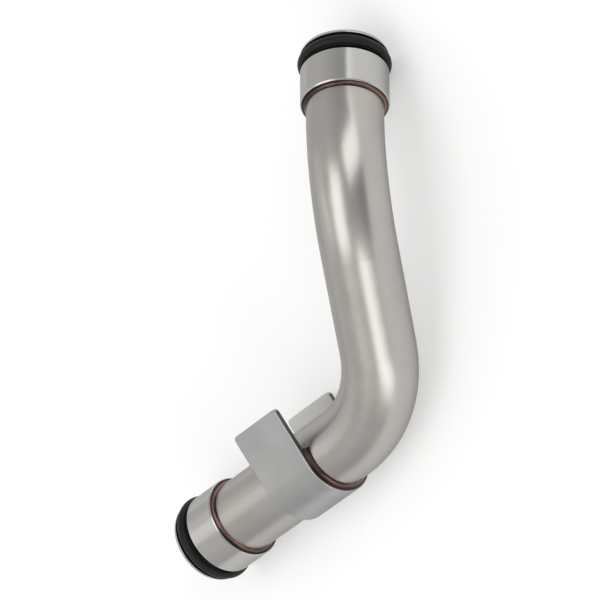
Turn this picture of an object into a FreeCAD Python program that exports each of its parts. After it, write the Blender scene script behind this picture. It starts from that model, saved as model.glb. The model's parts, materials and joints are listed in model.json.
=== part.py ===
import FreeCAD, Part

import math
import os

from FreeCAD import Placement, Rotation, Vector

# Turbo oil return line: a steel tube with two bends, a turned fitting brazed on each end, a rubber
# ring in each fitting's groove, and a strap bracket brazed round the lower run. It lies on a surface
# as it comes to rest: on the rim of its upper end, the ring of its lower end and the strap's bend.
# Millimetres and degrees. Z is up and the surface is at Z = 0.

# Tube
TUBE_OD = 20.0
TUBE_WALL = 1.5
BEND_RADIUS = 35.0          # of the centreline, the same for both bends
UPPER_BEND_ANGLE = 58.0
LOWER_BEND_ANGLE = 56.0
TWIST_ANGLE = -66.0         # from the upper bend's plane to the lower one's, about the middle run
UPPER_RUN = 3.2             # straight stretch between the upper bend and the upper fitting
MIDDLE_RUN = 28.0
LOWER_RUN = 44.5            # straight stretch between the lower bend and the lower fitting

# End fittings, alike at both ends
COLLAR_STEP = 1.45          # how far the collar stands out from the tube
COLLAR_LENGTH = 10.0        # from the shoulder to the ring groove
SHOULDER_CHAMFER = 0.3
GROOVE_WIDTH = 5.0
LIP_LENGTH = 1.0            # from the ring groove to the end, lead-in included
LEAD_IN_LENGTH = 0.7
LEAD_IN_DEPTH = 0.35
SOCKET_DEPTH = 8.0          # how far the tube goes into the fitting
SOCKET_CLEARANCE = 0.05     # on the radius, filled by the braze on the real part
MOUTH_CHAMFER = 0.5

# Rubber rings
RING_STEP = 0.7             # how far the ring stands out from the collar
RING_SECTION = 2.6
RING_SHIFT = 0.4            # from the middle of the groove towards the end

# Strap bracket on the lower run
STRAP_THICKNESS = 1.5
STRAP_WIDTH = 17.5
STRAP_CLEARANCE = 0.05      # on the radius, between the strap and the tube
STRAP_OFFSET = 22.0         # from the lower fitting's shoulder to the strap
STRAP_ROLL_ANGLE = 10.0     # turns the legs about the tube, away from the lower bend's plane
FRONT_LEG = 17.1            # from the tube's axis to the leg's end
BACK_LEG = 14.85
LEG_CORNER = 1.2
STRAP_EDGE = 0.3            # rounding of the strap's long edges

# Braze
SHOULDER_BRAZE = 1.0        # along the tube, at each fitting
STRAP_BRAZE = 1.6           # along the tube, at the strap's edge
STRAP_BRAZE_RISE = 1.1      # how far it climbs the strap's edge
STRAP_BRAZE_ANGLE = 228.0   # how far it runs round the tube, past the start of both legs
BRAZE_SAG_RATIO = 0.12      # hollow of the braze face, for each millimetre across it

TUBE_RADIUS = TUBE_OD / 2
BORE_RADIUS = TUBE_RADIUS - TUBE_WALL
COLLAR_RADIUS = TUBE_RADIUS + COLLAR_STEP
FITTING_LENGTH = COLLAR_LENGTH + GROOVE_WIDTH + LIP_LENGTH
RING_CORE = COLLAR_RADIUS + RING_STEP - RING_SECTION / 2
RING_SEAT = RING_CORE - RING_SECTION / 2
RING_PLACE = COLLAR_LENGTH + GROOVE_WIDTH / 2 + RING_SHIFT
STRAP_INSIDE = TUBE_RADIUS + STRAP_CLEARANCE
STRAP_OUTSIDE = STRAP_INSIDE + STRAP_THICKNESS
TOUCHING = 1e-3             # points closer than this count as one
REST_ROUNDS = 60            # enough for the resting plane to settle


def turned(vector, axis, degrees):
    """The vector turned about an axis through the origin."""
    return Rotation(axis, degrees).multVec(vector)


class Bend:
    """An arc of the centreline, found from one of its ends and the directions of travel at both."""

    def __init__(self, normal, enter, angle, start=None, end=None):
        self.normal = normal
        self.enter = enter
        self.leave = turned(enter, normal, angle)
        if start is not None:
            self.centre = start + self.inward(enter) * BEND_RADIUS
        else:
            self.centre = end + self.inward(self.leave) * BEND_RADIUS
        self.start = self.on_arc(enter)
        self.middle = self.on_arc(turned(enter, normal, angle / 2))
        self.end = self.on_arc(self.leave)

    def inward(self, travel):
        return self.normal.cross(travel)

    def on_arc(self, travel):
        return self.centre - self.inward(travel) * BEND_RADIUS

    def edge(self):
        return Part.Arc(self.start, self.middle, self.end).toShape()


# The route runs down the middle run, which is centred on the origin until the part is laid to rest
DOWN = Vector(0, 0, -1)
UPPER_NORMAL = Vector(1, 0, 0)
LOWER_NORMAL = turned(UPPER_NORMAL, DOWN, TWIST_ANGLE)
UPPER_TRAVEL = turned(DOWN, UPPER_NORMAL, -UPPER_BEND_ANGLE)
upper_arc = Bend(UPPER_NORMAL, UPPER_TRAVEL, UPPER_BEND_ANGLE, end=DOWN * (-MIDDLE_RUN / 2))
lower_arc = Bend(LOWER_NORMAL, DOWN, LOWER_BEND_ANGLE, start=DOWN * (MIDDLE_RUN / 2))
UPPER_OUT = -upper_arc.enter
LOWER_OUT = lower_arc.leave
UPPER_SHOULDER = upper_arc.start + UPPER_OUT * UPPER_RUN
LOWER_SHOULDER = lower_arc.end + LOWER_OUT * LOWER_RUN

# The strap's own directions: its legs point along LEGS_OUT, and its front leg lies on the FRONT side
LEGS_OUT = turned(lower_arc.inward(LOWER_OUT), LOWER_OUT, STRAP_ROLL_ANGLE)
FRONT = LEGS_OUT.cross(LOWER_OUT)
STRAP_FAR_EDGE = LOWER_SHOULDER - LOWER_OUT * (STRAP_OFFSET + STRAP_WIDTH)


def polygon_face(points):
    return Part.Face(Part.makePolygon(points + [points[0]]))


def turned_about_z(points, degrees=360):
    """A solid of revolution about Z from (radius, height) points."""
    face = polygon_face([Vector(radius, 0, height) for radius, height in points])
    return face.revolve(Vector(0, 0, 0), Vector(0, 0, 1), degrees)


def set_on(shape, base, outward):
    """Moves a shape made about Z so that its Z points outward from the base."""
    shape.Placement = Placement(base, Rotation(Vector(0, 0, 1), outward)).multiply(shape.Placement)
    return shape


def make_tube():
    top = UPPER_SHOULDER + UPPER_OUT * SOCKET_DEPTH
    bottom = LOWER_SHOULDER + LOWER_OUT * SOCKET_DEPTH
    spine = Part.Wire([
        Part.makeLine(top, upper_arc.start),
        upper_arc.edge(),
        Part.makeLine(upper_arc.end, lower_arc.start),
        lower_arc.edge(),
        Part.makeLine(lower_arc.end, bottom),
    ])

    def swept(radius):
        disc = Part.Face(Part.Wire(Part.makeCircle(radius, top, UPPER_OUT)))
        return spine.makePipe(disc)

    return swept(TUBE_RADIUS).cut(swept(BORE_RADIUS))


def make_end_fitting(base, outward):
    """Turned sleeve: socket for the tube, groove for the ring, lip with a lead-in chamfer."""
    socket = TUBE_RADIUS + SOCKET_CLEARANCE
    groove_start = COLLAR_LENGTH
    groove_end = COLLAR_LENGTH + GROOVE_WIDTH
    outline = [
        (socket, 0),
        (COLLAR_RADIUS - SHOULDER_CHAMFER, 0),
        (COLLAR_RADIUS, SHOULDER_CHAMFER),
        (COLLAR_RADIUS, groove_start),
        (RING_SEAT, groove_start),
        (RING_SEAT, groove_end),
        (COLLAR_RADIUS, groove_end),
        (COLLAR_RADIUS, FITTING_LENGTH - LEAD_IN_LENGTH),
        (COLLAR_RADIUS - LEAD_IN_DEPTH, FITTING_LENGTH),
        (BORE_RADIUS + MOUTH_CHAMFER, FITTING_LENGTH),
        (BORE_RADIUS, FITTING_LENGTH - MOUTH_CHAMFER),
        (BORE_RADIUS, SOCKET_DEPTH),
        (socket, SOCKET_DEPTH),
    ]
    return set_on(turned_about_z(outline), base, outward)


def make_ring(base, outward):
    ring = Part.makeTorus(RING_CORE, RING_SECTION / 2)
    ring.translate(Vector(0, 0, RING_PLACE))
    return set_on(ring, base, outward)


def fillet_face(rise, run, inner, height=0):
    """Section of a braze fillet on a tube: up a shoulder by rise, back along the tube by run."""
    corner = Vector(inner, 0, height)
    top = Vector(inner + rise, 0, height)
    toe = Vector(inner, 0, height - run)
    slope = toe - top
    hollow = Vector(slope.z, 0, -slope.x) * BRAZE_SAG_RATIO
    middle = (top + toe) * 0.5 + hollow
    face_curve = Part.Arc(top, middle, toe).toShape()
    return Part.Face(Part.Wire([Part.makeLine(corner, top), face_curve, Part.makeLine(toe, corner)]))


def make_shoulder_braze(base, outward):
    section = fillet_face(COLLAR_STEP - SHOULDER_CHAMFER, SHOULDER_BRAZE, TUBE_RADIUS)
    return set_on(section.revolve(Vector(0, 0, 0), Vector(0, 0, 1), 360), base, outward)


def strap_placement():
    """X along the legs, Y towards the back, Z along the lower run from its bend to its end."""
    return Placement(STRAP_FAR_EDGE, Rotation(LEGS_OUT, -FRONT, LOWER_OUT, "ZXY"))


def make_strap():
    """Flat strip bent round the tube, with two legs of unlike length."""
    def half_outline(radius):
        bend = Part.Arc(Vector(0, radius, 0), Vector(-radius, 0, 0), Vector(0, -radius, 0)).toShape()
        front = Part.makeLine(Vector(FRONT_LEG, -radius, 0), Vector(0, -radius, 0))
        back = Part.makeLine(Vector(0, radius, 0), Vector(BACK_LEG, radius, 0))
        return [front, bend, back]

    def leg_end(reach, side):
        return Part.makeLine(Vector(reach, side * STRAP_INSIDE, 0), Vector(reach, side * STRAP_OUTSIDE, 0))

    outline = half_outline(STRAP_OUTSIDE) + half_outline(STRAP_INSIDE)
    outline += [leg_end(FRONT_LEG, -1), leg_end(BACK_LEG, 1)]
    blank = Part.Face(Part.Wire(Part.__sortEdges__(outline))).extrude(Vector(0, 0, STRAP_WIDTH))
    corners = [edge for edge in blank.Edges if is_leg_corner(edge)]
    strap = blank.makeFillet(LEG_CORNER, corners)
    strap = strap.makeFillet(STRAP_EDGE, [edge for edge in strap.Edges if is_outside_edge(edge)])
    strap.Placement = strap_placement()
    return strap


def is_leg_corner(edge):
    """True for the short edges through the strip's thickness at the ends of the legs."""
    across = edge.BoundBox
    return across.YLength > STRAP_THICKNESS / 2 and max(across.XLength, across.ZLength) < TOUCHING


def is_outside_edge(edge):
    """True for the edges round the strip's outside face, but not for the lines where its bend ends."""
    def from_spine(point):
        return abs(point.y) if point.x > 0 else math.hypot(point.x, point.y)

    first, last = edge.FirstParameter, edge.LastParameter
    points = [edge.valueAt(t) for t in (first, (first + last) / 2, last)]
    on_outside = all(abs(from_spine(point) - STRAP_OUTSIDE) < TOUCHING for point in points)
    return on_outside and any(abs(point.x) > TOUCHING for point in points)


def make_strap_braze():
    """Braze along the strap's edge on the side of the bend, from one leg round to the other."""
    section = fillet_face(STRAP_BRAZE_RISE, STRAP_BRAZE, TUBE_RADIUS)
    section.rotate(Vector(0, 0, 0), Vector(0, 0, 1), 180 - STRAP_BRAZE_ANGLE / 2)
    braze = section.revolve(Vector(0, 0, 0), Vector(0, 0, 1), STRAP_BRAZE_ANGLE)
    braze.Placement = strap_placement()
    return braze


def lowest(support, up):
    """Lowest point of a round support: (centre, axis, radius of its core circle, rounding)."""
    centre, axis, core, rounding = support
    fall = axis * up.dot(axis) - up
    fall.normalize()
    return centre + fall * core - up * rounding


def rest_direction(supports, up):
    """The up direction when all three supports touch one plane."""
    for _ in range(REST_ROUNDS):
        a, b, c = [lowest(support, up) for support in supports]
        normal = (b - a).cross(c - a)
        normal.normalize()
        up = normal if normal.dot(up) > 0 else -normal
    return up


def laid_to_rest(shapes):
    """Turns and lifts the part so that it lies on Z = 0, its lower run pointing along -X."""
    rim_end = UPPER_SHOULDER + UPPER_OUT * FITTING_LENGTH
    ring_middle = LOWER_SHOULDER + LOWER_OUT * RING_PLACE
    edge_middle = STRAP_FAR_EDGE + LOWER_OUT * STRAP_EDGE
    supports = [
        (rim_end, UPPER_OUT, COLLAR_RADIUS - LEAD_IN_DEPTH, 0),
        (ring_middle, LOWER_OUT, RING_CORE, RING_SECTION / 2),
        (edge_middle, LOWER_OUT, STRAP_OUTSIDE - STRAP_EDGE, STRAP_EDGE),
    ]
    up = rest_direction(supports, FRONT)
    across = -LOWER_OUT - up * up.dot(-LOWER_OUT)
    turn = Rotation(across, up.cross(across), up, "ZXY").inverted()
    for shape in shapes.values():
        shape.Placement = Placement(Vector(0, 0, 0), turn).multiply(shape.Placement)
    floor = turn.multVec(lowest(supports[0], up)).z
    box = Part.makeCompound(list(shapes.values())).optimalBoundingBox(False, False)
    shift = Vector(-(box.XMin + box.XMax) / 2, -(box.YMin + box.YMax) / 2, -floor)
    for shape in shapes.values():
        shape.translate(shift)
    return shapes


def main():
    ends = {"upper": (UPPER_SHOULDER, UPPER_OUT), "lower": (LOWER_SHOULDER, LOWER_OUT)}
    shapes = {"tube": make_tube()}
    for end, (base, outward) in ends.items():
        shapes[end + "_end_fitting"] = make_end_fitting(base, outward)
        shapes[end + "_sealing_ring"] = make_ring(base, outward)
        shapes[end + "_braze_ring"] = make_shoulder_braze(base, outward)
    shapes["strap_bracket"] = make_strap()
    shapes["bracket_braze"] = make_strap_braze()
    os.makedirs("parts", exist_ok=True)
    for name, shape in laid_to_rest(shapes).items():
        shape.exportStep("parts/" + name + ".step")


main()
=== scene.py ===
import json
import math

import bpy
from mathutils import Matrix, Vector

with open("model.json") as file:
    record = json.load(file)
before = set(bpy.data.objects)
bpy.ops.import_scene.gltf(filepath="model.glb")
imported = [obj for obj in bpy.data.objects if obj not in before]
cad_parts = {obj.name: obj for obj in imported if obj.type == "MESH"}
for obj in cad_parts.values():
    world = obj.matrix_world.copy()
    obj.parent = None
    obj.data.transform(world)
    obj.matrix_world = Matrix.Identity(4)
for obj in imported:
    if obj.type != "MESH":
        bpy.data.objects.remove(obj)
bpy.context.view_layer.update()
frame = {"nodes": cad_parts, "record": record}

MILLIMETRE = 0.001

# Camera, in degrees and metres, as the photograph was taken
CAMERA_TARGET = Vector((0.004789, -0.000896, 0.013139))
CAMERA_DISTANCE = 1.34443
CAMERA_AZIMUTH = 71.052
CAMERA_ELEVATION = 45.653
CAMERA_ROLL = -101.590
CAMERA_LENS = 309.715
CAMERA_SENSOR = 36.0
CAMERA_NEAREST = 0.05
CAMERA_FARTHEST = 50.0

# Surroundings: a lighter side, with the cosines of the angle to it between which the level rises,
# and a soft glow round the front softbox
WORLD_TINT = (1.0, 0.995, 0.985)
WORLD_LEVELS = (0.21, 0.735)
LIGHT_SIDE = (-0.69, 0.29, 0.67)
LIGHT_SIDE_COSINES = (-0.6, 0.7)
FRONT_GLOW = {"direction": (0.30, -0.87, 0.38), "level": 0.67, "spread": 0.11}

# Floor: its colour, and what it adds for rays that see it, so that it is white
FLOOR_SIZE = 12.0
FLOOR_COLOUR = 0.66
FLOOR_LIFT = 0.35

# Softboxes, all at one distance in metres: direction from the part, width, height and roll in
# degrees as seen from it, and brightness as a mirror would show it
LAMP_DISTANCE = 3.0
SOFTBOXES = {
    "front_softbox": {
        "direction": (0.24, -0.92, 0.31),
        "width": 19.5,
        "height": 39.0,
        "roll": 5.0,
        "brightness": 1.55,
    },
    "top_softbox": {
        "direction": (-0.01, -0.10, 1.00),
        "width": 33.5,
        "height": 53.0,
        "roll": -20.0,
        "brightness": 1.42,
    },
    "side_softbox": {
        "direction": (0.89, 0.18, 0.42),
        "width": 30.0,
        "height": 46.0,
        "roll": 0.0,
        "brightness": 1.75,
    },
    "fill_softbox": {
        "direction": (-0.62, 0.16, 0.765),
        "width": 28.0,
        "height": 16.0,
        "roll": 22.0,
        "brightness": 0.42,
    },
    "wide_softbox": {
        "direction": (-0.80, 0.30, 0.52),
        "width": 40.0,
        "height": 34.0,
        "roll": 0.0,
        "brightness": 0.16,
    },
    "band_softbox": {
        "direction": (-0.30, -0.56, 0.77),
        "width": 26.0,
        "height": 20.0,
        "roll": 0.0,
        "brightness": 0.19,
    },
    "low_softbox": {
        "direction": (0.79, 0.59, 0.055),
        "width": 20.0,
        "height": 6.0,
        "roll": 0.0,
        "brightness": 1.85,
    },
}

# Noise: how detailed it is, the share of grain in a blend of clouds and grain, and the bands of
# values over which a colour or a roughness goes from one end of its range to the other
PLAIN_DETAIL = 2
RICH_DETAIL = 3
GRAIN_SHARE = 0.25
NOISE_BAND = (0.3, 0.7)
TURNING_BAND = (0.35, 0.65)
BLEND_COLOUR_BAND = (0.38, 0.62)
BLEND_ROUGHNESS_BAND = (0.35, 0.65)

# In all that follows, clouds, grain, marks, wander, speckle and blotches are in waves a
# millimetre, shades are shares of the colour, and reliefs are in millimetres.

# Steel: its tint at grazing angles, then the tube, the fittings and the strap
STEEL_EDGE_TINT = (0.6, 0.6, 0.6)
TUBE_COLOUR = (0.445, 0.429, 0.407)
TUBE_SHADES = (-0.03, 0.03)
TUBE_ROUGHNESS = (0.27, 0.30)
TUBE_CLOUDS = 0.12
TUBE_GRAIN = 1.1
FITTING_COLOUR = (0.485, 0.479, 0.458)
FITTING_SHADES = (-0.015, 0.015)
FITTING_ROUGHNESS = (0.22, 0.25)
FITTING_CLOUDS = 0.2
FITTING_MARKS = 2.5
STRAP_COLOUR = (0.416, 0.414, 0.413)
STRAP_SHADES = (-0.07, 0.05)
STRAP_CLOUDS = 0.09
STRAP_GRAIN = 1.8

# The strap's roughness on its faces and its sheared edges, how squarely a surface has to face along
# the tube to be an edge, and a painted reflection that makes the back leg lighter: its colour, and
# the distances in millimetres from the back leg's mount over which it fades out
STRAP_ROUGHNESS = (0.36, 0.50)
CUT_EDGE_COLOUR = (0.15, 0.15, 0.15)
CUT_EDGE_FACING = (0.80, 0.97)
BACK_LEG_PAINTED_REFLECTION_COLOUR = (0.56, 0.55, 0.527)
BACK_LEG_PAINTED_REFLECTION_REACH = (2.0, 6.0)

# Rubber
RUBBER_COLOUR = (0.010, 0.010, 0.011)
RUBBER_SHADES = (-0.15, 0.2)
RUBBER_ROUGHNESS = (0.42, 0.50)
RUBBER_SHEEN = 0.19
RUBBER_GRAIN = 1.5
RUBBER_RELIEF = 0.008

# Braze: colours, surface, and how far wander and speckle move the colours across a fillet
COPPER_COLOUR = (0.130, 0.0765, 0.0590)
# COPPER_HIGHLIGHT is a painted highlight: a paler line laid along the middle of each fillet
COPPER_HIGHLIGHT = (0.221, 0.132, 0.101)
# Painted shade: near-black brown laid along both edges of each fillet, where it meets the tube and
# the collar or strap
BRAZE_CORNER_SHADE_COLOUR = (0.024, 0.019, 0.017)
BRAZE_ROUGHNESS = (0.24, 0.36)
BRAZE_METALLIC = 0.9
BRAZE_BLOTCHES = 0.9
BRAZE_RELIEF = 0.02
BRAZE_WANDER = 0.10
WANDER_RANGE = (-0.14, 0.14)
BRAZE_SPECKLE = 2.0
SPECKLE_RANGE = (-0.05, 0.05)

# Where the colours lie across a fillet, from 0 at the tube to 1 at its rim: painted shade at both
# edges, copper between, and a painted highlight in the middle
INNER_CORNER_SHADE_SPOT = 0.05
INNER_COPPER_SPOT = 0.20
HIGHLIGHT_SPOT = 0.30
OUTER_COPPER_SPOT = 0.40
OUTER_CORNER_SHADE_SPOT = 0.75

# Fillets: radii in millimetres, then by how much each is darker than the copper, the side towards
# which painted light makes it paler, and by how much
TUBE_RADIUS = 10.0
COLLAR_FOOT_RADIUS = 11.15
STRAP_BRAZE_RADIUS = 11.1
UPPER_BRAZE = {"darkness": 0.08, "painted_lit_side": (0.49, -0.47, -0.74), "painted_light_share": 0.55}
LOWER_BRAZE = {"darkness": -0.12, "painted_lit_side": (0.0, 0.97, 0.23), "painted_light_share": 0.25}
BRACKET_BRAZE = {"darkness": 0.40, "painted_lit_side": (0.03, -0.78, -0.63), "painted_light_share": 0.55}


def direction_from(azimuth, elevation):
    """Unit vector towards a place seen at this azimuth and elevation."""
    a = math.radians(azimuth)
    e = math.radians(elevation)
    return Vector((math.sin(a) * math.cos(e), -math.cos(a) * math.cos(e), math.sin(e)))


def look_along(back, roll):
    """Rotation of something that looks against back, rolled about its view line."""
    level = Vector((0, 0, 1)).cross(back).normalized()
    upright = back.cross(level)
    turn = math.radians(roll)
    across = level * math.cos(turn) + upright * math.sin(turn)
    up = back.cross(across)
    return Matrix((across, up, back)).transposed().to_quaternion()


def make_camera():
    """Camera at the photograph's viewing angle."""
    data = bpy.data.cameras.new("camera")
    data.lens = CAMERA_LENS
    data.sensor_width = CAMERA_SENSOR
    data.clip_start = CAMERA_NEAREST
    data.clip_end = CAMERA_FARTHEST
    camera = bpy.data.objects.new("camera", data)
    back = direction_from(CAMERA_AZIMUTH, CAMERA_ELEVATION)
    camera.rotation_mode = "QUATERNION"
    camera.rotation_quaternion = look_along(back, CAMERA_ROLL)
    camera.location = CAMERA_TARGET + back * CAMERA_DISTANCE
    bpy.context.scene.collection.objects.link(camera)
    bpy.context.scene.camera = camera


def lamp_extent(angle):
    """Length that fills an angle as seen from the part."""
    return 2 * LAMP_DISTANCE * math.tan(math.radians(angle) / 2)


def make_softbox(name, direction, width, height, roll, brightness):
    """Area lamp, out of the camera's sight."""
    data = bpy.data.lights.new(name, "AREA")
    data.shape = "RECTANGLE"
    data.size = lamp_extent(width)
    data.size_y = lamp_extent(height)
    data.energy = brightness * math.pi * data.size * data.size_y
    lamp = bpy.data.objects.new(name, data)
    back = Vector(direction).normalized()
    lamp.rotation_mode = "QUATERNION"
    lamp.rotation_quaternion = look_along(back, roll)
    lamp.location = back * LAMP_DISTANCE
    lamp.visible_camera = False
    bpy.context.scene.collection.objects.link(lamp)


def feed(tree, sockets, items):
    """Gives each input its item, which is another node's output or a plain value."""
    for socket, item in zip(sockets, items):
        if isinstance(item, bpy.types.NodeSocket):
            tree.links.new(item, socket)
        else:
            socket.default_value = item


def scalar_math(tree, operation, *items):
    """Result of an operation on numbers."""
    node = tree.nodes.new("ShaderNodeMath")
    node.operation = operation
    feed(tree, node.inputs, items)
    return node.outputs[0]


def vector_math(tree, operation, *items):
    """Node for an operation on vectors."""
    node = tree.nodes.new("ShaderNodeVectorMath")
    node.operation = operation
    feed(tree, node.inputs, items)
    return node


def scaled(tree, vector, amount):
    """Vector or colour made longer or brighter."""
    node = vector_math(tree, "SCALE", vector)
    tree.links.new(amount, node.inputs["Scale"])
    return node.outputs["Vector"]


def dot_with(tree, vector, direction):
    """How far a vector points along a direction."""
    node = vector_math(tree, "DOT_PRODUCT", vector, Vector(direction).normalized())
    return node.outputs["Value"]


def span(tree, value, low, high, new_low, new_high):
    """Value moved from one range to another, held at its ends."""
    node = tree.nodes.new("ShaderNodeMapRange")
    numbers = {"From Min": low, "From Max": high, "To Min": new_low, "To Max": new_high}
    for socket, number in numbers.items():
        node.inputs[socket].default_value = number
    tree.links.new(value, node.inputs["Value"])
    return node.outputs["Result"]


def ramp(tree, value, stops):
    """Colour for a value, from pairs of a place and a colour."""
    node = tree.nodes.new("ShaderNodeValToRGB")
    elements = node.color_ramp.elements
    while len(elements) < len(stops):
        elements.new(0.5)
    for element, (spot, colour) in zip(elements, stops):
        element.position = spot
        element.color = (*colour, 1)
    tree.links.new(value, node.inputs["Fac"])
    return node.outputs["Color"]


def shaded(colour, amount):
    """Colour made lighter or darker by an amount."""
    return tuple(channel * (1 + amount) for channel in colour)


def mottled(tree, pattern, band, colour, shades):
    """Colour that goes from its first shade to its second over a band of the pattern."""
    return ramp(tree, pattern, [(spot, shaded(colour, shade)) for spot, shade in zip(band, shades)])


def blend_colours(tree, amount, first, second):
    """Colour between a socket's and a plain one."""
    node = tree.nodes.new("ShaderNodeMix")
    node.data_type = "RGBA"
    tree.links.new(amount, node.inputs["Factor"])
    tree.links.new(first, node.inputs["A"])
    node.inputs["B"].default_value = (*second, 1)
    return node.outputs["Result"]


def place(tree):
    """Position on the part in millimetres."""
    coordinates = tree.nodes.new("ShaderNodeTexCoord")
    mapping = tree.nodes.new("ShaderNodeMapping")
    mapping.inputs["Scale"].default_value = [1 / MILLIMETRE] * 3
    tree.links.new(coordinates.outputs["Object"], mapping.inputs["Vector"])
    return mapping.outputs["Vector"]


def from_mount(tree, mount):
    """Position measured from a mount, in millimetres."""
    origin = Vector(mount["pos_m"]) / MILLIMETRE
    return vector_math(tree, "SUBTRACT", place(tree), origin).outputs["Vector"]


def along_axis(tree, mount):
    """Distance in millimetres from a mount along its axis."""
    return dot_with(tree, from_mount(tree, mount), mount["axis"])


def out_from_axis(tree, mount):
    """Distance in millimetres out from a mount's axis."""
    on_axis = scaled(tree, Vector(mount["axis"]), along_axis(tree, mount))
    outward = vector_math(tree, "SUBTRACT", from_mount(tree, mount), on_axis)
    return vector_math(tree, "LENGTH", outward.outputs["Vector"]).outputs["Value"]


def facing_along(tree, axis):
    """How squarely the surface faces along an axis, either way."""
    normal = tree.nodes.new("ShaderNodeTexCoord").outputs["Normal"]
    return scalar_math(tree, "ABSOLUTE", dot_with(tree, normal, axis))


def noise(tree, waves, detail=PLAIN_DETAIL):
    """Even noise over the part, of this many waves a millimetre."""
    node = tree.nodes.new("ShaderNodeTexNoise")
    node.inputs["Scale"].default_value = waves
    node.inputs["Detail"].default_value = detail
    tree.links.new(place(tree), node.inputs["Vector"])
    return node.outputs["Fac"]


def turning_marks(tree, mount):
    """Noise in rings round an axis, which a lathe leaves on sides and faces."""
    node = tree.nodes.new("ShaderNodeTexNoise")
    node.noise_dimensions = "1D"
    node.inputs["Scale"].default_value = FITTING_MARKS
    node.inputs["Detail"].default_value = PLAIN_DETAIL
    travel = scalar_math(tree, "ADD", along_axis(tree, mount), out_from_axis(tree, mount))
    tree.links.new(travel, node.inputs["W"])
    return node.outputs["Fac"]


def clouds_and_grain(tree, clouds, grain):
    """Blend of a coarse noise and a fine one."""
    coarse = scalar_math(tree, "MULTIPLY", clouds, 1 - GRAIN_SHARE)
    return scalar_math(tree, "MULTIPLY_ADD", grain, GRAIN_SHARE, coarse)


def add_glow(tree, towards, level_so_far, direction, level, spread):
    """Brightness with a soft round glow added in one direction."""
    nearness = dot_with(tree, towards, direction)
    fall = scalar_math(tree, "MULTIPLY_ADD", nearness, 1 / spread, -1 / spread)
    glow = scalar_math(tree, "EXPONENT", fall)
    return scalar_math(tree, "MULTIPLY_ADD", glow, level, level_so_far)


def make_world():
    """Surroundings with a lighter side and a glow round the front softbox."""
    world = bpy.data.worlds.new("studio")
    world.use_nodes = True
    tree = world.node_tree
    background = tree.nodes["Background"]
    background.inputs["Color"].default_value = (*WORLD_TINT, 1)
    towards = tree.nodes.new("ShaderNodeTexCoord").outputs["Generated"]
    nearness = dot_with(tree, towards, LIGHT_SIDE)
    level = span(tree, nearness, *LIGHT_SIDE_COSINES, *WORLD_LEVELS)
    level = add_glow(tree, towards, level, **FRONT_GLOW)
    tree.links.new(level, background.inputs["Strength"])
    bpy.context.scene.world = world


def floor_white():
    """Matt white, with a little light of its own where the camera or a reflection sees it."""
    material = bpy.data.materials.new("floor_white")
    material.use_nodes = True
    tree = material.node_tree
    tree.nodes.clear()
    path = tree.nodes.new("ShaderNodeLightPath").outputs
    seen = scalar_math(tree, "MAXIMUM", path["Is Camera Ray"], path["Is Glossy Ray"])
    seen = scalar_math(tree, "MAXIMUM", seen, path["Is Transmission Ray"])
    glow = tree.nodes.new("ShaderNodeEmission")
    tree.links.new(scalar_math(tree, "MULTIPLY", seen, FLOOR_LIFT), glow.inputs["Strength"])
    paint = tree.nodes.new("ShaderNodeBsdfDiffuse")
    paint.inputs["Color"].default_value = (FLOOR_COLOUR, FLOOR_COLOUR, FLOOR_COLOUR, 1)
    both = tree.nodes.new("ShaderNodeAddShader")
    tree.links.new(glow.outputs[0], both.inputs[0])
    tree.links.new(paint.outputs[0], both.inputs[1])
    output = tree.nodes.new("ShaderNodeOutputMaterial")
    tree.links.new(both.outputs[0], output.inputs["Surface"])
    return material


def make_floor():
    """White table on which the part casts its shadow."""
    mesh = bpy.data.meshes.new("floor")
    half = FLOOR_SIZE / 2
    corners = [(-half, -half, 0), (half, -half, 0), (half, half, 0), (-half, half, 0)]
    mesh.from_pydata(corners, [], [(0, 1, 2, 3)])
    mesh.materials.append(floor_white())
    floor = bpy.data.objects.new("floor", mesh)
    bpy.context.scene.collection.objects.link(floor)


def start_material(name):
    """Material with one shader, and its node tree."""
    material = bpy.data.materials.new(name)
    material.use_nodes = True
    tree = material.node_tree
    return material, tree, tree.nodes["Principled BSDF"]


def set_surface(tree, shader, colour, roughness):
    """Gives a shader its colour and its roughness."""
    tree.links.new(colour, shader.inputs["Base Color"])
    tree.links.new(roughness, shader.inputs["Roughness"])


def set_steel(shader):
    """Makes a shader bare steel."""
    shader.inputs["Metallic"].default_value = 1.0
    shader.inputs["Specular Tint"].default_value = (*STEEL_EDGE_TINT, 1)


def set_relief(tree, shader, height, depth):
    """Gives a shader a relief of this depth in millimetres."""
    node = tree.nodes.new("ShaderNodeBump")
    node.inputs["Distance"].default_value = depth * MILLIMETRE
    tree.links.new(height, node.inputs["Height"])
    tree.links.new(node.outputs["Normal"], shader.inputs["Normal"])


def tube_steel():
    """Drawn steel tube, satin, with a faint cloudiness."""
    material, tree, shader = start_material("tube_steel")
    clouds = noise(tree, TUBE_CLOUDS, RICH_DETAIL)
    pattern = clouds_and_grain(tree, clouds, noise(tree, TUBE_GRAIN))
    colour = mottled(tree, pattern, BLEND_COLOUR_BAND, TUBE_COLOUR, TUBE_SHADES)
    roughness = span(tree, pattern, *BLEND_ROUGHNESS_BAND, *TUBE_ROUGHNESS)
    set_surface(tree, shader, colour, roughness)
    set_steel(shader)
    return material


def fitting_steel(name, port):
    """Turned steel with very faint marks round the axis."""
    material, tree, shader = start_material(name)
    marks = turning_marks(tree, port)
    colour = mottled(tree, marks, TURNING_BAND, FITTING_COLOUR, FITTING_SHADES)
    roughness = span(tree, noise(tree, FITTING_CLOUDS), *NOISE_BAND, *FITTING_ROUGHNESS)
    set_surface(tree, shader, colour, roughness)
    set_steel(shader)
    return material


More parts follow.
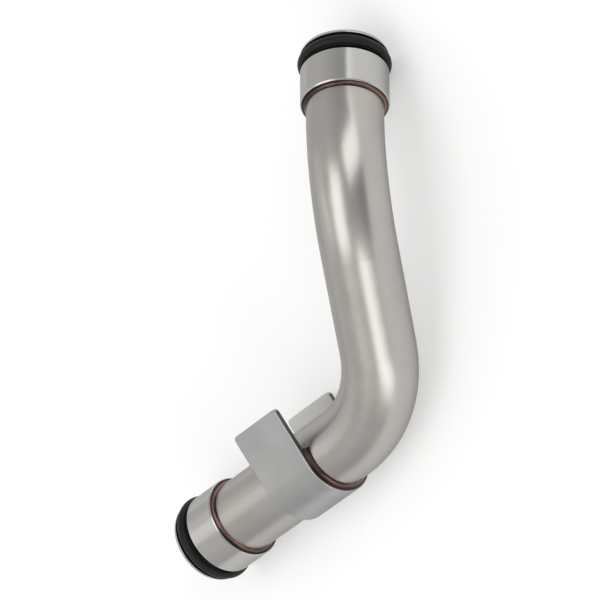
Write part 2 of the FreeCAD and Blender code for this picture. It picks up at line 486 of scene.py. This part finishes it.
def strap_steel(port, back_leg):
    """Rolled strip, satin, with darker sheared edges and a back leg made brighter by a painted
    reflection.
    """
    material, tree, shader = start_material("bracket_steel")
    pattern = clouds_and_grain(tree, noise(tree, STRAP_CLOUDS), noise(tree, STRAP_GRAIN))
    faces = mottled(tree, pattern, BLEND_COLOUR_BAND, STRAP_COLOUR, STRAP_SHADES)
    height = scalar_math(tree, "ABSOLUTE", along_axis(tree, back_leg))
    # Painted reflection: the back leg's faces are made lighter near its mount, as if mirroring
    # white surroundings
    painted_reflection = span(tree, height, *BACK_LEG_PAINTED_REFLECTION_REACH, 1, 0)
    faces = blend_colours(tree, painted_reflection, faces, BACK_LEG_PAINTED_REFLECTION_COLOUR)
    edge = span(tree, facing_along(tree, port["axis"]), *CUT_EDGE_FACING, 0, 1)
    colour = blend_colours(tree, edge, faces, CUT_EDGE_COLOUR)
    set_surface(tree, shader, colour, span(tree, edge, 0, 1, *STRAP_ROUGHNESS))
    set_steel(shader)
    return material


def rubber():
    """Black rubber with a low sheen."""
    material, tree, shader = start_material("rubber")
    grain = noise(tree, RUBBER_GRAIN, RICH_DETAIL)
    colour = mottled(tree, grain, NOISE_BAND, RUBBER_COLOUR, RUBBER_SHADES)
    set_surface(tree, shader, colour, span(tree, grain, *NOISE_BAND, *RUBBER_ROUGHNESS))
    set_relief(tree, shader, grain, RUBBER_RELIEF)
    shader.inputs["Specular IOR Level"].default_value = RUBBER_SHEEN
    return material


def spot_across(tree, mount, rim):
    """Where a point lies between the tube and a fillet's rim, made uneven by noise."""
    across = span(tree, out_from_axis(tree, mount), TUBE_RADIUS, rim, 0, 1)
    wander = span(tree, noise(tree, BRAZE_WANDER, RICH_DETAIL), *NOISE_BAND, *WANDER_RANGE)
    speckle = span(tree, noise(tree, BRAZE_SPECKLE), *NOISE_BAND, *SPECKLE_RANGE)
    return scalar_math(tree, "ADD", scalar_math(tree, "ADD", across, wander), speckle)


def braze(name, mount, rim, darkness, painted_lit_side, painted_light_share):
    """Copper fillet with painted shade along both edges, a painted highlight between them and
    painted light that makes it paler towards one side, with an uneven surface.
    """
    material, tree, shader = start_material(name)
    # Painted shade at both edges of the fillet, copper between, and a painted highlight in the
    # middle
    stops = [
        (INNER_CORNER_SHADE_SPOT, BRAZE_CORNER_SHADE_COLOUR),
        (INNER_COPPER_SPOT, shaded(COPPER_COLOUR, -darkness)),
        (HIGHLIGHT_SPOT, shaded(COPPER_HIGHLIGHT, -darkness)),
        (OUTER_COPPER_SPOT, shaded(COPPER_COLOUR, -darkness)),
        (OUTER_CORNER_SHADE_SPOT, BRAZE_CORNER_SHADE_COLOUR),
    ]
    colours = ramp(tree, spot_across(tree, mount, rim), stops)
    aside = dot_with(tree, from_mount(tree, mount), painted_lit_side)
    # Painted light: the fillet's colours are made paler towards its lit side and darker away from
    # it
    strength = span(tree, aside, -TUBE_RADIUS, TUBE_RADIUS, 1 - painted_light_share, 1 + painted_light_share)
    blotches = noise(tree, BRAZE_BLOTCHES, RICH_DETAIL)
    roughness = span(tree, blotches, *NOISE_BAND, *BRAZE_ROUGHNESS)
    set_surface(tree, shader, scaled(tree, colours, strength), roughness)
    set_relief(tree, shader, blotches, BRAZE_RELIEF)
    shader.inputs["Metallic"].default_value = BRAZE_METALLIC
    return material


def dress(node, material):
    """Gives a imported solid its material."""
    mesh = frame["nodes"][node].data
    mesh.materials.clear()
    mesh.materials.append(material)


bpy.context.scene.view_settings.view_transform = "Standard"
mounts = {mount["name"]: mount for mount in frame["record"]["mounts"]}
make_camera()
make_world()
make_floor()
for softbox_name, softbox in SOFTBOXES.items():
    make_softbox(softbox_name, **softbox)
dress("tube", tube_steel())
dress("strap_bracket", strap_steel(mounts["lower_port"], mounts["bracket_back_leg"]))
sealing = rubber()
for end, look in (("upper", UPPER_BRAZE), ("lower", LOWER_BRAZE)):
    port = mounts[end + "_port"]
    dress(end + "_end_fitting", fitting_steel(end + "_fitting_steel", port))
    dress(end + "_sealing_ring", sealing)
    dress(end + "_braze_ring", braze(end + "_braze", port, COLLAR_FOOT_RADIUS, **look))
bracket_fillet = braze("bracket_braze", mounts["lower_port"], STRAP_BRAZE_RADIUS, **BRACKET_BRAZE)
dress("bracket_braze", bracket_fillet)
